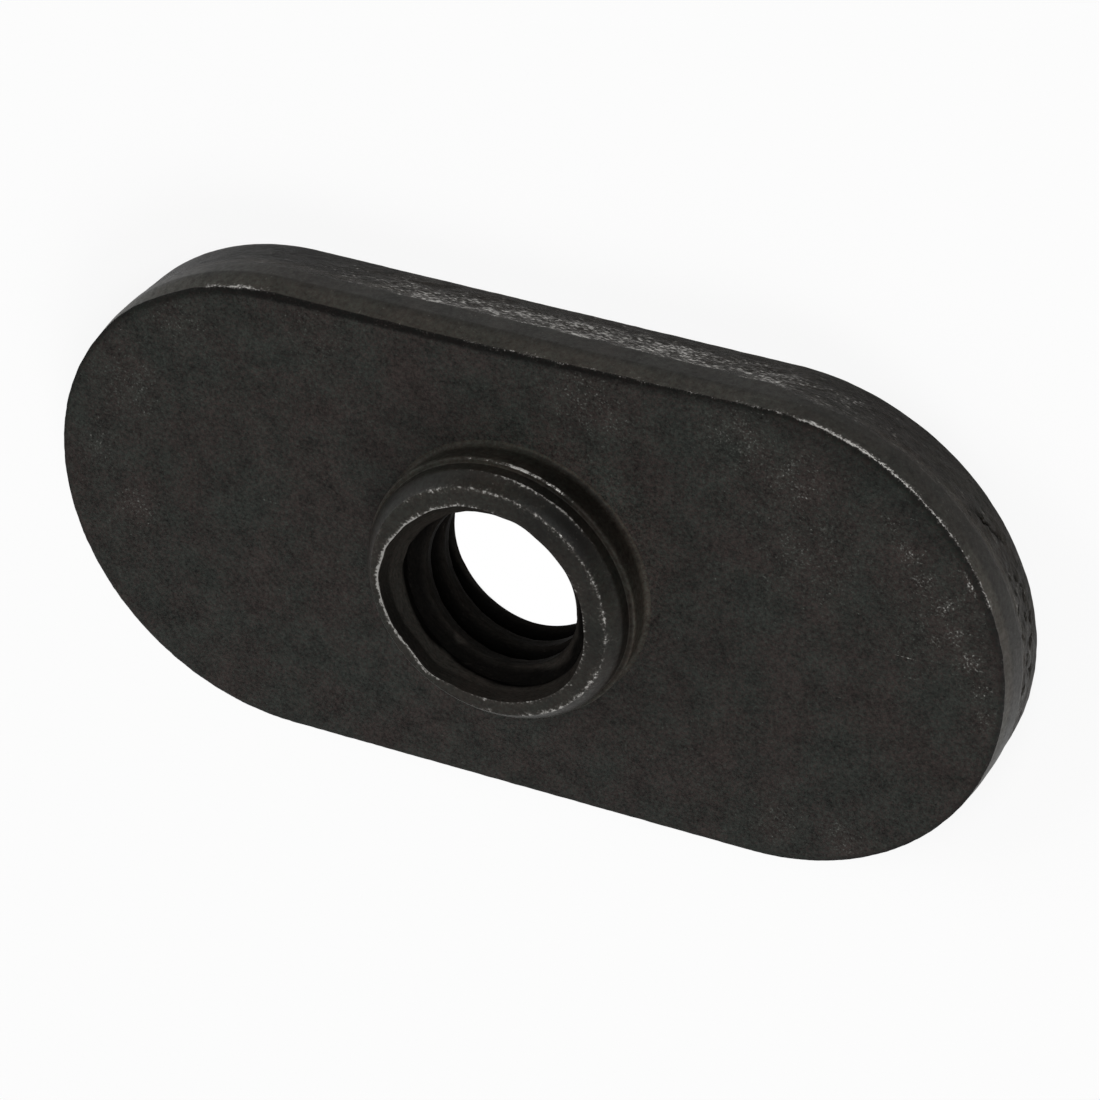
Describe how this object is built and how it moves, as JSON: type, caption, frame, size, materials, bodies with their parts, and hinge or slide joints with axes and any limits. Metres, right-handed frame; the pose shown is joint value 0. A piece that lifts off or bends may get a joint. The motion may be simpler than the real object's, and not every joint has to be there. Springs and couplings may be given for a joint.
{
  "type": "t slot nut",
  "caption": "Slide-in T-slot nut stamped from black oxide steel: a flat obround plate with a plunged and threaded collar at its middle.",
  "frame": {"origin": "middle of the plate's back face, on the bore's axis", "axes": "+Z out of the collar's mouth, +X along the plate, +Y across it; the nut lies on its back face at z = 0"},
  "size_m": [0.038, 0.019, 0.0054],
  "materials": {
    "black_oxide_steel": "black oxide, oiled, matt"
  },
  "bodies": {
    "root": {"nut": "black_oxide_steel"}
  },
  "joints": []
}
